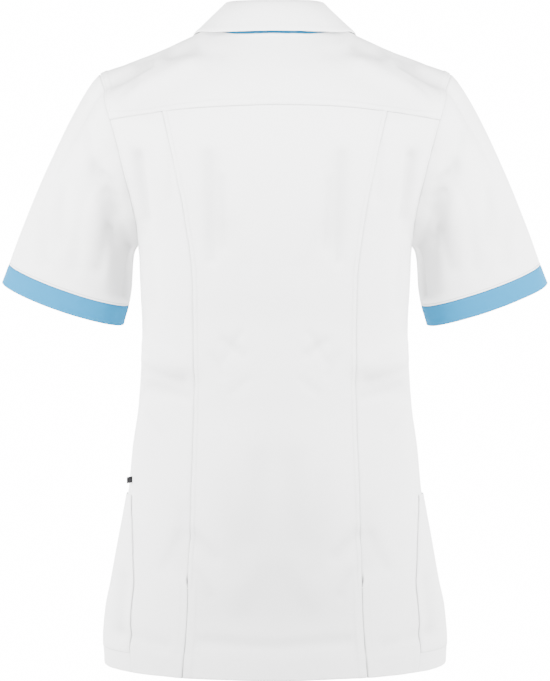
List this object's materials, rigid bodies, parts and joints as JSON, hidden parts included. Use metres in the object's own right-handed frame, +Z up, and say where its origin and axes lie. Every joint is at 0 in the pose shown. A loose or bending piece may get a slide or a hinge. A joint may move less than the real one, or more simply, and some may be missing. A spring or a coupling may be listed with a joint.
{
  "type": "medical tunic",
  "caption": "Short-sleeved medical tunic, filled out with no wearer: shaped back panels with vents, yoke, turn-down collar, buttoned front, hip pockets and contrast cuffs.",
  "frame": {"origin": "midway between the two points where the shoulders meet the neck, where the wearer's shoulders carry the tunic", "axes": "+Z up, the front of the tunic faces -Y, and the wearer's left is at +X"},
  "size_m": [0.6174, 0.2425, 0.7411],
  "materials": {
    "white_cloth": "white polyester and cotton twill, matt, lightly creased",
    "blue_cloth": "sky blue polyester and cotton twill, matt",
    "button_plastic": "white moulded polyester with a soft shine",
    "label_cloth": "plain black woven tape"
  },
  "bodies": {
    "root": {"back_centre": "white_cloth", "side_back_left": "white_cloth", "side_back_right": "white_cloth", "yoke": "white_cloth", "front_left": "white_cloth", "front_right": "white_cloth", "pocket_left": "white_cloth", "pocket_right": "white_cloth", "sleeve_left": "white_cloth", "sleeve_right": "white_cloth", "piping_left": "white_cloth", "piping_right": "white_cloth", "cuff_left": "blue_cloth", "cuff_right": "blue_cloth", "collar_leaf": "white_cloth", "collar_stand": "blue_cloth", "button_1": "button_plastic", "button_2": "button_plastic", "button_3": "button_plastic", "button_4": "button_plastic", "button_5": "button_plastic", "button_6": "button_plastic", "label_tab": "label_cloth"}
  },
  "joints": []
}
